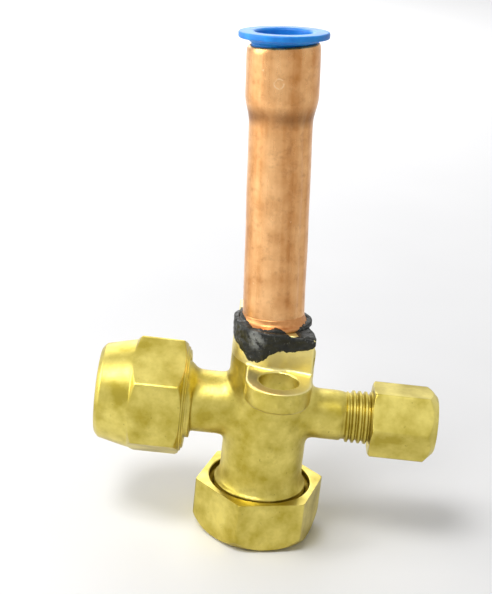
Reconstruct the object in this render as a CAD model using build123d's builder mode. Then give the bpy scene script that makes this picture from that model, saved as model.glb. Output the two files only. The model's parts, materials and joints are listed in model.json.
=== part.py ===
"""Angle service valve for the liquid or suction line of a split air conditioner.

Origin: centre of the flat end of the stem cap.  +Z runs along the stem towards the copper tube,
-X along the flare union, +X along the service port and -Y towards the front fixing lug.
"""
import math
import os

from build123d import *

os.makedirs("parts", exist_ok=True)

# ------------------------------------------------------------------ clearances
thread_gap = 0.12            # radial gap between a male thread and what screws on it
slide_gap = 0.08             # radial gap between the stem and its bore
seat_gap = 0.1               # gap between a seal and the face that it closes on
skin_gap = 0.05              # gap between curved faces that are brazed or pressed together

# ------------------------------------------------------------------ stem cap
cap_flats = 24.2             # across the hexagon's flats
cap_turn = 14.1              # degrees that the hexagon is turned about the stem
cap_height = 11.4
cap_foot_radius = 11.3       # flat face that the valve stands on
cap_foot_rise = 3.3          # height of the turned edge below the hexagon
cap_floor = 2.6              # thickness of the closed end
cap_mouth_radius = 10.85
cap_mouth_depth = 2.0
cap_seal_height = 1.0
cap_seal_width = 2.6

# ------------------------------------------------------------------ forged body
port_height = 28.2           # height of the axis that both side ports share
barrel_radius = 8.75
cap_thread_radius = 9.9      # male thread for the stem cap
cap_thread_top = 11.3
cap_thread_cove = 3.4        # height of the cove between thread and barrel
block_top = 48.5
lug_top = 40.8
lug_bottom = 35.8
lug_radius = 6.7
lug_hole_radius = 4.05
lug_side = 1.4               # sideways offset of each lug hole from the stem axis
lug_reach = 13.4             # forward offset of each lug hole from the stem axis
lug_blend = 2.0
step_face = 8.3              # distance from the stem axis to the milled wall above each lug
step_sweep = 24.0            # radius that this wall is milled to
rim_chamfer = 0.6

# ------------------------------------------------------------------ flare union, along -X
union_neck_radius = 6.6
union_bore_radius = 3.9
union_root_radius = 8.1      # undercut behind the thread
union_root_start = 15.9      # distance from the stem axis
union_thread_start = 17.5
union_thread_radius = 9.45
union_thread_end = 29.2
union_cone_radius = 8.4      # wide end of the 45 degree flare seat
union_cone_length = 2.7
nut_flats = 22.6
nut_turn = 26.3              # degrees that the nut's hexagon is turned about its port
nut_start = 17.8             # inner end of the hexagon
nut_hex_length = 10.7
nut_collar_radius = 11.05
nut_collar_length = 0.8
nut_end = 35.8
nut_shoulder_radius = 11.4   # round nose where it leaves the hexagon
nut_nose_radius = 9.8
nut_nose_round = 1.0
nut_tube_radius = 6.4        # hole for a half inch tube
bonnet_wall = 0.8
bonnet_floor = 0.5           # thickness of the bonnet's closed end

# ------------------------------------------------------------------ service port, along +X
service_neck_radius = 5.3
service_thread_radius = 5.55
service_thread_start = 15.6
service_end = 31.6
service_end_chamfer = 0.7
service_cap_flats = 14.0
service_cap_turn = -5.4       # degrees that the cap's hexagon is turned about its port
service_cap_start = 21.8
service_cap_end = 35.5
service_cap_end_radius = 6.0
service_seal_length = 1.0
service_seal_hole = 2.6

# ------------------------------------------------------------------ valve core in the service port
core_thread_radius = 2.6
core_inner_radius = 1.95
core_passage_radius = 1.4
core_plug_length = 5.4
core_plug_recess = 1.0       # how far the plug sits below the port's mouth
core_plug_bore = 1.55
core_plug_floor = 0.8
core_seal_length = 1.3
core_sleeve_length = 4.4
core_sleeve_radius = 1.65
core_pin_radius = 0.55
core_pin_head_radius = 1.4
core_pin_head_length = 0.5
core_pin_travel = 1.3
core_poppet_length = 1.6
core_poppet_radius = 1.5
core_poppet_seal_length = 0.5
spring_wire_radius = 0.15
spring_coil_radius = 1.1
spring_coils = 5.0

# ------------------------------------------------------------------ stem
stem_thread_radius = 6.0
stem_thread_length = 4.6
stem_travel = 5.0
stem_seal_radius = 5.0       # bore that the stem's rings seal in
stem_neck_radius = 3.6
stem_nose_radius = 4.2
stem_nose_tip = 2.4
stem_nose_cone = 2.8
seat_radius = 3.4
seat_land = 0.6              # height of the seat above the side ports
hex_socket_flats = 5.0
hex_socket_depth = 4.0
ring_section = 0.52          # radius of an O-ring's cord
ring_spacing = 1.9
clip_thickness = 0.9
clip_groove = 1.0
clip_groove_radius = 6.6
clip_width = 1.3
clip_inset = 0.8             # distance of the clip's groove from the body's end

# ------------------------------------------------------------------ copper tube and its plug
tube_radius = 6.35
tube_wall = 1.0
tube_shift_left = 0.9        # offset of the tube's foot from the stem axis
tube_lean_left = 0.070       # sideways lean of the tube for each unit of height
tube_lean_back = 0.080       # backward lean of the tube for each unit of height
tube_length = 56.7           # from the top of the block to the rim
socket_depth = 6.0
swage_radius = 7.3
swage_wall = 0.8
swage_length = 11.2
swage_taper = 3.8
braze_width = 1.1            # reach of the braze fillet over the block
braze_height = 1.2
braze_lip = 0.35             # thickness of the fillet's upper edge
crust_cover = 1.0            # thickness of the burnt flux on the block
crust_rise = 3.4             # height of the burnt flux up the tube
crust_lip = 0.9              # thickness of the crust's upper edge
plug_flange_radius = 8.95
plug_flange = 1.3
plug_wall = 0.75
plug_depth = 7.5
plug_lift = 1.1              # gap left between flange and rim
plug_seat = 0.5              # straight stretch of the neck above the rim's centre
plug_neck_flare = 0.5        # how much wider the neck is under the flange than at the rim
plug_taper = 0.55            # how much slimmer the plug is at its lower end
plug_cock = 3.4              # degrees that the plug stands askew in the tube

# ------------------------------------------------------------------ worked out from the above
barrel_foot = cap_floor + cap_seal_height + seat_gap
seat_height = port_height + union_bore_radius + seat_land
stem_foot = barrel_foot + clip_inset + clip_groove + seat_gap
stem_thread_top = stem_foot + stem_thread_length
stem_bore_top = stem_thread_top + stem_travel + 3 * seat_gap
stem_cone_fit = stem_nose_cone * (stem_nose_radius - seat_radius) / (stem_nose_radius - stem_nose_tip)
stem_cone_base = seat_height - seat_gap - stem_travel - stem_cone_fit
ring_centre_radius = stem_seal_radius - ring_section - slide_gap / 2
nut_thread_radius = union_thread_radius + thread_gap
nut_hex_end = nut_start + nut_hex_length
seat_shift = (bonnet_wall + 2 * seat_gap) * math.sqrt(2)
union_tip = union_thread_end + union_cone_length
union_tip_radius = union_cone_radius - union_cone_length
nut_cone_start = union_thread_end + seat_shift - (nut_thread_radius - union_cone_radius)
nut_cone_end = nut_cone_start + nut_thread_radius - nut_tube_radius
core_plug_end = service_end - core_plug_recess
core_plug_start = core_plug_end - core_plug_length
core_seal_start = core_plug_start - core_seal_length
core_sleeve_start = core_seal_start - core_sleeve_length
core_poppet_end = core_sleeve_start - core_poppet_seal_length - seat_gap
core_poppet_start = core_poppet_end - core_poppet_length
core_pin_end = core_plug_end - seat_gap
core_chamber_start = core_poppet_start - core_pin_travel - 1.0

stem_axis = Axis.Z
port_axis = Axis((0, 0, port_height), (1, 0, 0))
port_section = Plane(origin=(0, 0, port_height), x_dir=(1, 0, 0), z_dir=(0, -1, 0))
lug_centres = [(lug_side, -lug_reach), (-lug_side, lug_reach)]
tube_base = Plane(
    origin=(-tube_shift_left, 0, block_top),
    x_dir=(1, 0, tube_lean_left),
    z_dir=(-tube_lean_left, tube_lean_back, 1),
)
tube_axis = Axis(tube_base.origin, tube_base.z_dir)
tube_section = Plane(origin=tube_base.origin, x_dir=tube_base.x_dir, z_dir=-tube_base.y_dir)
rim_centre = tube_base.origin + tube_base.z_dir * tube_length
plug_base = Plane(origin=rim_centre, x_dir=tube_base.x_dir, z_dir=tube_base.z_dir).rotated((0, plug_cock, 0))
foot_section = Plane(origin=tube_base.origin, x_dir=(1, 0, 0), z_dir=(0, -1, 0))
foot_axis = Axis(tube_base.origin, (0, 0, 1))
plug_axis = Axis(plug_base.origin, plug_base.z_dir)
plug_section = Plane(origin=plug_base.origin, x_dir=plug_base.x_dir, z_dir=-plug_base.y_dir)


def turn_profile(plane, axis, points, mode=Mode.ADD):
    """Revolve a closed outline; a port's outline is (distance, radius), others (radius, height)."""
    with BuildSketch(plane) as outline:
        with BuildLine():
            Polyline(*points, close=True)
        make_face()
    revolve(outline.sketch, axis=axis, mode=mode)


def tube_outline(start, end):
    """Outline of a rod that leaves the tube its gap, between two distances along the tube."""
    return [(0, start), (tube_radius + skin_gap, start), (tube_radius + skin_gap, end), (0, end)]


def save(piece, label):
    """Label a finished piece and write its file."""
    piece.part.label = label
    export_step(piece.part, f"parts/{label}.step")


# ------------------------------------------------------------------ valve body
with BuildPart() as valve_body:
    # barrel, with the male thread of the stem cap and the cove above it
    cove_steps = 6
    cove = [
        (
            barrel_radius
            + (cap_thread_radius - barrel_radius) * (1 - math.sin(step / cove_steps * math.pi / 2)),
            cap_thread_top + cap_thread_cove * (1 - math.cos(step / cove_steps * math.pi / 2)),
        )
        for step in range(cove_steps + 1)
    ]
    turn_profile(
        Plane.XZ,
        stem_axis,
        [
            (0, barrel_foot),
            (cap_thread_radius - rim_chamfer, barrel_foot),
            (cap_thread_radius, barrel_foot + rim_chamfer),
            *cove,
            (barrel_radius, block_top),
            (0, block_top),
        ],
    )
    # block with its two lugs, one towards the front and one towards the back
    with BuildSketch(Plane.XY.offset(lug_bottom)) as lug_plan:
        Circle(barrel_radius)
        for side, reach in lug_centres:
            with Locations((side, reach / 2)):
                Rectangle(2 * lug_radius, lug_reach)
            with Locations((side, reach)):
                Circle(lug_radius)
        blend_points = [
            vertex
            for vertex in lug_plan.vertices()
            if abs(abs(vertex.X) - (lug_radius - lug_side)) < 0.01 and abs(vertex.Y) < lug_reach - 0.01
        ]
        fillet(blend_points, lug_blend)
    extrude(amount=lug_top - lug_bottom)
    # shoulder above the lugs: a round boss with two square corners and the milled walls
    with BuildSketch(Plane.XY.offset(lug_top)) as shoulder_plan:
        Circle(barrel_radius)
        for side, reach in lug_centres:
            corner = side + math.copysign(lug_radius, side)
            with Locations((corner / 2, reach / 2)):
                Rectangle(abs(corner), lug_reach)
        for side, reach in lug_centres:
            with Locations((side, math.copysign(step_face + step_sweep, reach))):
                Circle(step_sweep, mode=Mode.SUBTRACT)
    extrude(amount=block_top - lug_top)
    # necks of the ports
    turn_profile(
        port_section,
        port_axis,
        [
            (0, 0),
            (0, union_neck_radius),
            (-union_root_start, union_neck_radius),
            (-union_root_start, union_root_radius),
            (-union_thread_start, union_root_radius),
            (-union_thread_start, union_thread_radius - rim_chamfer),
            (-union_thread_start - rim_chamfer, union_thread_radius),
            (-union_thread_end + rim_chamfer, union_thread_radius),
            (-union_thread_end, union_cone_radius),
            (-union_tip, union_tip_radius),
            (-union_tip, 0),
        ],
    )
    turn_profile(
        port_section,
        port_axis,
        [
            (0, 0),
            (0, service_neck_radius),
            (service_thread_start, service_neck_radius),
            (service_thread_start + service_thread_radius - service_neck_radius, service_thread_radius),
            (service_end - service_end_chamfer, service_thread_radius),
            (service_end, service_thread_radius - service_end_chamfer),
            (service_end, 0),
        ],
    )
    # holes of the lugs
    with BuildSketch(Plane.XY.offset(lug_bottom)):
        with Locations(*lug_centres):
            Circle(lug_hole_radius)
    extrude(amount=lug_top - lug_bottom, mode=Mode.SUBTRACT)
    # stem bore, clip groove, ring bore, seat and passage
    turn_profile(
        Plane.XZ,
        stem_axis,
        [
            (0, barrel_foot),
            (stem_thread_radius, barrel_foot),
            (stem_thread_radius, barrel_foot + clip_inset),
            (clip_groove_radius, barrel_foot + clip_inset),
            (clip_groove_radius, barrel_foot + clip_inset + clip_groove),
            (stem_thread_radius, barrel_foot + clip_inset + clip_groove),
            (stem_thread_radius, stem_bore_top),
            (stem_seal_radius, stem_bore_top + stem_thread_radius - stem_seal_radius),
            (stem_seal_radius, seat_height),
            (seat_radius, seat_height),
            (seat_radius, block_top),
            (0, block_top),
        ],
        Mode.SUBTRACT,
    )
    # bores of the two ports
    turn_profile(
        port_section,
        port_axis,
        [
            (0, 0),
            (0, union_bore_radius),
            (-union_tip, union_bore_radius),
            (-union_tip, 0),
        ],
        Mode.SUBTRACT,
    )
    turn_profile(
        port_section,
        port_axis,
        [
            (0, 0),
            (0, core_passage_radius),
            (core_chamber_start, core_passage_radius),
            (core_chamber_start, core_inner_radius),
            (core_seal_start, core_inner_radius),
            (core_plug_start, core_thread_radius),
            (service_end, core_thread_radius),
            (service_end, 0),
        ],
        Mode.SUBTRACT,
    )
    # socket for the copper tube
    turn_profile(tube_section, tube_axis, tube_outline(-socket_depth, socket_depth), Mode.SUBTRACT)
save(valve_body, "valve_body")

# ------------------------------------------------------------------ stem
ring_heights = [stem_bore_top + stem_thread_radius - stem_seal_radius + ring_section + 3 * seat_gap]
ring_heights.append(ring_heights[0] + ring_spacing)
with BuildPart() as valve_stem:
    turn_profile(
        Plane.XZ,
        stem_axis,
        [
            (0, stem_foot),
            (stem_thread_radius - slide_gap, stem_foot),
            (stem_thread_radius - slide_gap, stem_thread_top),
            (stem_seal_radius - slide_gap, stem_thread_top + rim_chamfer),
            (stem_seal_radius - slide_gap, ring_heights[1] + 2 * ring_section),
            (stem_neck_radius, ring_heights[1] + 3 * ring_section),
            (stem_neck_radius, stem_cone_base - 2 * rim_chamfer),
            (stem_nose_radius, stem_cone_base - rim_chamfer),
            (stem_nose_radius, stem_cone_base),
            (stem_nose_tip, stem_cone_base + stem_nose_cone),
            (0, stem_cone_base + stem_nose_cone),
        ],
    )
    for ring_height in ring_heights:
        with BuildSketch(Plane.XZ):
            with Locations((stem_seal_radius, ring_height)):
                Rectangle(
                    2 * (stem_seal_radius - ring_centre_radius + ring_section + skin_gap),
                    2 * (ring_section + skin_gap),
                )
        revolve(axis=stem_axis, mode=Mode.SUBTRACT)
    with BuildSketch(Plane.XY.offset(stem_foot)):
        RegularPolygon(hex_socket_flats / 2, 6, major_radius=False)
    extrude(amount=hex_socket_depth, mode=Mode.SUBTRACT)
save(valve_stem, "valve_stem")

for ring_name, ring_height in zip(("stem_o_ring_lower", "stem_o_ring_upper"), ring_heights):
    with BuildPart() as stem_ring:
        with BuildSketch(Plane.XZ):
            with Locations((ring_centre_radius, ring_height)):
                Circle(ring_section)
        revolve(axis=stem_axis)
    save(stem_ring, ring_name)

with BuildPart() as stem_circlip:
    with BuildSketch(Plane.XY.offset(barrel_foot + clip_inset + (clip_groove - clip_thickness) / 2)):
        Circle(clip_groove_radius - skin_gap)
        Circle(clip_groove_radius - skin_gap - clip_width, mode=Mode.SUBTRACT)
        with Locations((0, -clip_groove_radius)):
            Rectangle(clip_groove_radius / 2, clip_groove_radius, mode=Mode.SUBTRACT)
    extrude(amount=clip_thickness)
save(stem_circlip, "stem_circlip")

# ------------------------------------------------------------------ stem cap
with BuildPart() as stem_cap:
    cap_corner = cap_flats / math.sqrt(3)
    with BuildSketch():
        RegularPolygon(cap_flats / 2, 6, major_radius=False, rotation=cap_turn)
    extrude(amount=cap_height)
    with BuildSketch(Plane.XZ):
        with BuildLine():
            foot = Line((0, 0), (cap_foot_radius, 0))
            edge = RadiusArc(
                foot @ 1, (cap_corner, cap_foot_rise), -1.6 * cap_foot_rise, short_sagitta=True
            )
            Polyline(edge @ 1, (cap_corner, cap_height), (0, cap_height), (0, 0))
        make_face()
    revolve(axis=stem_axis, mode=Mode.INTERSECT)
    turn_profile(
        Plane.XZ,
        stem_axis,
        [
            (0, cap_floor),
            (cap_thread_radius + thread_gap, cap_floor),
            (cap_thread_radius + thread_gap, cap_height - cap_mouth_depth),
            (cap_mouth_radius, cap_height - cap_mouth_depth + cap_mouth_radius - cap_thread_radius - thread_gap),
            (cap_mouth_radius, cap_height),
            (0, cap_height),
        ],
        Mode.SUBTRACT,
    )
save(stem_cap, "stem_cap")

with BuildPart() as stem_cap_gasket:
    with BuildSketch(Plane.XY.offset(cap_floor)):
        Circle(cap_thread_radius - rim_chamfer)
        Circle(cap_thread_radius - rim_chamfer - cap_seal_width, mode=Mode.SUBTRACT)
    extrude(amount=cap_seal_height)
save(stem_cap_gasket, "stem_cap_gasket")

# ------------------------------------------------------------------ flare nut and its sealing bonnet
with BuildPart() as flare_nut:
    nut_corner = nut_flats / math.sqrt(3)
    with BuildSketch(Plane.YZ.offset(-nut_end)):
        with Locations((0, port_height)):
            RegularPolygon(nut_flats / 2, 6, major_radius=False, rotation=nut_turn)
    extrude(amount=nut_end - nut_start + nut_collar_length)
    with BuildSketch(port_section):
        with BuildLine():
            Polyline(
                (-nut_end, 0),
                (-nut_start + nut_collar_length, 0),
                (-nut_start + nut_collar_length, nut_collar_radius - rim_chamfer / 2),
                (-nut_start + nut_collar_length / 2, nut_collar_radius),
                (-nut_start, nut_collar_radius),
                (-nut_start - (nut_corner - nut_collar_radius) / 2, nut_corner),
                (-nut_hex_end + (nut_corner - nut_shoulder_radius) / 2, nut_corner),
                (-nut_hex_end, nut_shoulder_radius),
                (-nut_end + nut_nose_round, nut_nose_radius),
                (-nut_end, nut_nose_radius - nut_nose_round),
                close=True,
            )
        make_face()
    revolve(axis=port_axis, mode=Mode.INTERSECT)
    # the collar and the nose are round, so they fill out what the hexagon's flats cut away
    turn_profile(
        port_section,
        port_axis,
        [
            (-nut_end, 0),
            (-nut_start + nut_collar_length, 0),
            (-nut_start + nut_collar_length, nut_collar_radius - rim_chamfer / 2),
            (-nut_start + nut_collar_length / 2, nut_collar_radius),
            (-nut_start, nut_collar_radius),
            (-nut_start, nut_flats / 2 - rim_chamfer),
            (-nut_hex_end, nut_flats / 2 - rim_chamfer),
            (-nut_hex_end, nut_shoulder_radius),
            (-nut_end + nut_nose_round, nut_nose_radius),
            (-nut_end, nut_nose_radius - nut_nose_round),
        ],
    )
    turn_profile(
        port_section,
        port_axis,
        [
            (-nut_end, 0),
            (-nut_end, nut_tube_radius),
            (-nut_cone_end, nut_tube_radius),
            (-nut_cone_start, nut_thread_radius),
            (-nut_start + nut_collar_length, nut_thread_radius),
            (-nut_start + nut_collar_length, 0),
        ],
        Mode.SUBTRACT,
    )
save(flare_nut, "flare_nut")

with BuildPart() as flare_bonnet:
    inner_shift = seat_gap * math.sqrt(2)
    bonnet_mouth = union_thread_end + inner_shift
    bonnet_shoulder = bonnet_mouth + bonnet_wall * math.sqrt(2)
    bonnet_end = union_tip + inner_shift + bonnet_floor
    turn_profile(
        port_section,
        port_axis,
        [
            (-bonnet_mouth, union_cone_radius),
            (-union_tip - inner_shift, union_tip_radius),
            (-union_tip - inner_shift, 0),
            (-bonnet_end, 0),
            (-bonnet_end, union_cone_radius - (bonnet_end - bonnet_shoulder)),
            (-bonnet_shoulder, union_cone_radius),
        ],
    )
save(flare_bonnet, "flare_bonnet")

# ------------------------------------------------------------------ service port cap and its gasket
with BuildPart() as service_cap:
    service_corner = service_cap_flats / math.sqrt(3)
    with BuildSketch(Plane.YZ.offset(service_cap_start)):
        with Locations((0, port_height)):
            RegularPolygon(service_cap_flats / 2, 6, major_radius=False, rotation=service_cap_turn)
    extrude(amount=service_cap_end - service_cap_start)
    with BuildSketch(port_section):
        with BuildLine():
            Polyline(
                (service_cap_start, 0),
                (service_cap_start, service_corner - rim_chamfer),
                (service_cap_start + rim_chamfer / 2, service_corner),
                (service_cap_end - (service_corner - service_cap_end_radius), service_corner),
                (service_cap_end, service_cap_end_radius),
                (service_cap_end, 0),
                close=True,
            )
        make_face()
    revolve(axis=port_axis, mode=Mode.INTERSECT)
    turn_profile(
        port_section,
        port_axis,
        [
            (service_cap_start, 0),
            (service_cap_start, service_thread_radius + thread_gap + rim_chamfer),
            (service_cap_start + rim_chamfer, service_thread_radius + thread_gap),
            (service_end + seat_gap + service_seal_length, service_thread_radius + thread_gap),
            (service_end + seat_gap + service_seal_length, 0),
        ],
        Mode.SUBTRACT,
    )
save(service_cap, "service_cap")

with BuildPart() as service_cap_gasket:
    with BuildSketch(Plane.YZ.offset(service_end + seat_gap)):
        with Locations((0, port_height)):
            Circle(service_thread_radius)
            Circle(service_seal_hole, mode=Mode.SUBTRACT)
    extrude(amount=service_seal_length)
save(service_cap_gasket, "service_cap_gasket")

# ------------------------------------------------------------------ valve core
with BuildPart() as core_plug:
    turn_profile(
        port_section,
        port_axis,
        [
            (core_sleeve_start, core_pin_radius + slide_gap),
            (core_sleeve_start, core_sleeve_radius),
            (core_plug_start - skin_gap, core_sleeve_radius),
            (core_plug_start - skin_gap, core_sleeve_radius + skin_gap),
            (core_plug_start, core_sleeve_radius + skin_gap),
            (core_plug_start, core_thread_radius - thread_gap / 2),
            (core_plug_end, core_thread_radius - thread_gap / 2),
            (core_plug_end, core_plug_bore),
            (core_plug_start + core_plug_floor, core_plug_bore),
            (core_plug_start + core_plug_floor, core_pin_radius + slide_gap),
        ],
    )
    with BuildSketch(Plane.YZ.offset(core_plug_end)):
        with Locations((0, port_height)):
            Rectangle(2 * core_thread_radius, 2 * core_pin_radius)
    extrude(amount=-core_pin_radius, mode=Mode.SUBTRACT)
save(core_plug, "core_plug")

with BuildPart() as core_gasket:
    turn_profile(
        port_section,
        port_axis,
        [
            (core_seal_start, core_sleeve_radius + skin_gap),
            (core_seal_start, core_inner_radius - skin_gap),
            (core_plug_start - seat_gap, core_thread_radius - 2 * thread_gap),
            (core_plug_start - seat_gap, core_sleeve_radius + skin_gap),
        ],
    )
save(core_gasket, "core_gasket")

with BuildPart() as core_pin:
    turn_profile(
        port_section,
        port_axis,
        [
            (core_poppet_start, 0),
            (core_poppet_start, core_pin_radius),
            (core_pin_end - 2 * core_pin_head_length, core_pin_radius),
            (core_pin_end - 2 * core_pin_head_length, core_pin_head_radius),
            (core_pin_end - core_pin_head_length, core_pin_head_radius),
            (core_pin_end - core_pin_head_length, core_pin_radius),
            (core_pin_end, core_pin_radius),
            (core_pin_end, 0),
        ],
    )
save(core_pin, "core_pin")

spring_start = core_plug_start + core_plug_floor + spring_wire_radius + skin_gap
spring_length = core_pin_end - 2 * core_pin_head_length - spring_wire_radius - skin_gap - spring_start
spring_origin = Plane(origin=(spring_start, 0, port_height), x_dir=(0, 1, 0), z_dir=(1, 0, 0))
spring_helix = spring_origin * Helix(spring_length / spring_coils, spring_length, spring_coil_radius)
with BuildPart() as core_spring:
    with BuildSketch(Plane(origin=spring_helix @ 0, z_dir=spring_helix % 0)):
        Circle(spring_wire_radius)
    sweep(path=spring_helix, is_frenet=True)
save(core_spring, "core_spring")

with BuildPart() as core_poppet:
    turn_profile(
        port_section,
        port_axis,
        [
            (core_poppet_start, core_pin_radius),
            (core_poppet_start, core_poppet_radius - skin_gap),
            (core_poppet_end, core_poppet_radius),
            (core_poppet_end, core_pin_radius),
        ],
    )
save(core_poppet, "core_poppet")

with BuildPart() as core_poppet_seal:
    turn_profile(
        port_section,
        port_axis,
        [
            (core_poppet_end, core_pin_radius),
            (core_poppet_end, core_poppet_radius),
            (core_poppet_end + core_poppet_seal_length, core_poppet_radius),
            (core_poppet_end + core_poppet_seal_length, core_pin_radius),
        ],
    )
save(core_poppet_seal, "core_poppet_seal")

# ------------------------------------------------------------------ copper tube
tube_end = tube_length - swage_length
tube_bore = tube_radius - tube_wall
swage_bore = swage_radius - swage_wall
with BuildPart() as copper_tube:
    turn_profile(
        tube_section,
        tube_axis,
        [
            (tube_bore, -socket_depth),
            (tube_radius, -socket_depth),
            (tube_radius, tube_end - swage_taper),
            (swage_radius, tube_end),
            (swage_radius, tube_length),
            (swage_bore, tube_length),
            (swage_bore, tube_end),
            (tube_bore, tube_end - swage_taper),
        ],
    )
save(copper_tube, "copper_tube")

# ------------------------------------------------------------------ braze fillet and burnt flux


def braze_cone(growth):
    """Outline of the braze fillet, with its outside grown by a gap."""
    return [
        (0, 0),
        (tube_radius + braze_width + growth, 0),
        (tube_radius + braze_lip + growth, braze_height + growth),
        (0, braze_height + growth),
    ]


with BuildPart() as braze_fillet:
    turn_profile(foot_section, foot_axis, braze_cone(0))
    turn_profile(tube_section, tube_axis, tube_outline(-socket_depth, socket_depth), Mode.SUBTRACT)
save(braze_fillet, "braze_fillet")

with BuildPart() as flux_crust:
    extrude(shoulder_plan.sketch.moved(Location((0, 0, block_top - lug_top))), amount=crust_cover)
    turn_profile(
        foot_section,
        foot_axis,
        [
            (0, 0),
            (barrel_radius - tube_shift_left, 0),
            (barrel_radius - tube_shift_left, crust_cover / 2),
            (tube_radius + crust_lip, crust_rise),
            (0, crust_rise),
        ],
    )
    turn_profile(foot_section, foot_axis, braze_cone(skin_gap), Mode.SUBTRACT)
    turn_profile(tube_section, tube_axis, tube_outline(-socket_depth, crust_rise + socket_depth), Mode.SUBTRACT)
save(flux_crust, "flux_crust")

# ------------------------------------------------------------------ plug in the tube's mouth
plug_radius = swage_bore - 2 * skin_gap
with BuildPart() as tube_plug:
    turn_profile(
        plug_section,
        plug_axis,
        [
            (0, -plug_depth),
            (plug_radius - plug_taper, -plug_depth),
            (plug_radius, 0),
            (plug_radius, plug_seat),
            (plug_radius + plug_neck_flare, plug_lift),
            (plug_flange_radius, plug_lift),
            (plug_flange_radius, plug_lift + plug_flange),
            (plug_radius - plug_wall, plug_lift + plug_flange),
            (plug_radius - plug_taper - plug_wall, plug_wall - plug_depth),
            (0, plug_wall - plug_depth),
        ],
    )
save(tube_plug, "tube_plug")
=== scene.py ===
# %% [markdown]
# # Looks of a refrigerant service valve
# The valve is a small brass forging with a copper tube brazed into its top, two hexagonal caps,
# a flare nut and a blue plug.  The solid model already says where every piece is and how big it is.
# This lesson gives each piece the skin that it has on a workbench: soft forging radii, turned
# chamfers, real threads, a slightly battered tube and the black flux that the brazer left behind.

# %% Load the frame
import json
import math

import bmesh
import bpy
import numpy as np
from mathutils import Matrix, Vector, noise
from mathutils.bvhtree import BVHTree


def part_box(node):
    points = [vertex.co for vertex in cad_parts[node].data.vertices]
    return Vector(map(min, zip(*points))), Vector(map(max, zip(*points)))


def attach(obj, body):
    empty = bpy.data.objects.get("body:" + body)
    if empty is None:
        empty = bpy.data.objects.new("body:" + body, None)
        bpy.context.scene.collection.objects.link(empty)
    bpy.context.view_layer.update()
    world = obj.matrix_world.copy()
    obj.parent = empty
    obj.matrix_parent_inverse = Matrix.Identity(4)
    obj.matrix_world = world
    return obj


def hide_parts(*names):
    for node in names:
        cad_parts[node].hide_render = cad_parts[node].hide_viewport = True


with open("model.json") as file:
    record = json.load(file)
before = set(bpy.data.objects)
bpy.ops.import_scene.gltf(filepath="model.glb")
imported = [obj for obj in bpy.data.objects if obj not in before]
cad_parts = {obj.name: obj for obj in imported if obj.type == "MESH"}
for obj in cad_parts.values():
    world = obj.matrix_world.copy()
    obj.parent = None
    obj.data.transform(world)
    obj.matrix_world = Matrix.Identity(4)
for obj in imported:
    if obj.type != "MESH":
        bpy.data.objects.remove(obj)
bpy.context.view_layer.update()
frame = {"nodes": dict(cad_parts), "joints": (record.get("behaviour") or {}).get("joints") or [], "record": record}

MM = 0.001

# %% [markdown]
# ## The camera first
# The camera stands in front of the valve and a little above it, tilted slightly to one side.  Three
# directions describe it: right, down and forward.  Blender's camera looks along its own -Z with +Y up,
# so those three become the columns of its matrix with two of them turned round.

# %% Camera
scene = bpy.context.scene
SENSOR = 36.0

camera_place = Vector((-5.87, -279.42, 163.81)) * MM
camera_right = Vector((0.99428, 0.04285, 0.09781))
camera_down = Vector((0.10673, -0.36731, -0.92395))
camera_forward = Vector((-0.00367, 0.92911, -0.36978))
LENS = 88.9

camera_data = bpy.data.cameras.new("studio_camera")
camera_data.sensor_width = SENSOR
camera_data.sensor_fit = "AUTO"
camera_data.lens = LENS
camera_data.clip_start = 0.01
camera_data.clip_end = 10.0
camera = bpy.data.objects.new("studio_camera", camera_data)
scene.collection.objects.link(camera)
camera.matrix_world = Matrix.Translation(camera_place) @ Matrix(
    (camera_right, -camera_down, -camera_forward)
).transposed().to_4x4()
scene.camera = camera
scene.view_settings.view_transform = "Standard"
print("camera stands", round(camera_place.length / MM), "mm from the valve's foot")

# %% [markdown]
# ## Writing materials as sums
# A material is a small calculation that runs at every point of a surface.  Two classes make it
# readable: Signal is a value on its way through the material, so that `1 - wear * 0.5` adds the Math
# nodes by itself, and Finish is the material being built.  Its one method makes any other node.

# %% Signals and finishes


class Signal:
    """A socket whose sums and products become Math nodes."""

    def __init__(self, finish, socket):
        self.finish = finish
        self.socket = socket

    def combine(self, operation, first, second):
        return self.finish.node("ShaderNodeMath", {"operation": operation}, {0: first, 1: second})

    def __add__(self, other):
        return self.combine("ADD", self, other)

    def __radd__(self, other):
        return self.combine("ADD", other, self)

    def __sub__(self, other):
        return self.combine("SUBTRACT", self, other)

    def __rsub__(self, other):
        return self.combine("SUBTRACT", other, self)

    def __mul__(self, other):
        return self.combine("MULTIPLY", self, other)

    def between(self, low, high):
        """0 below low, 1 above high and a straight ramp between them; low may be the larger."""
        return self.finish.node(
            "ShaderNodeMapRange",
            {"clamp": True},
            {"Value": self, "From Min": low, "From Max": high, "To Min": 0.0, "To Max": 1.0},
        )


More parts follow.
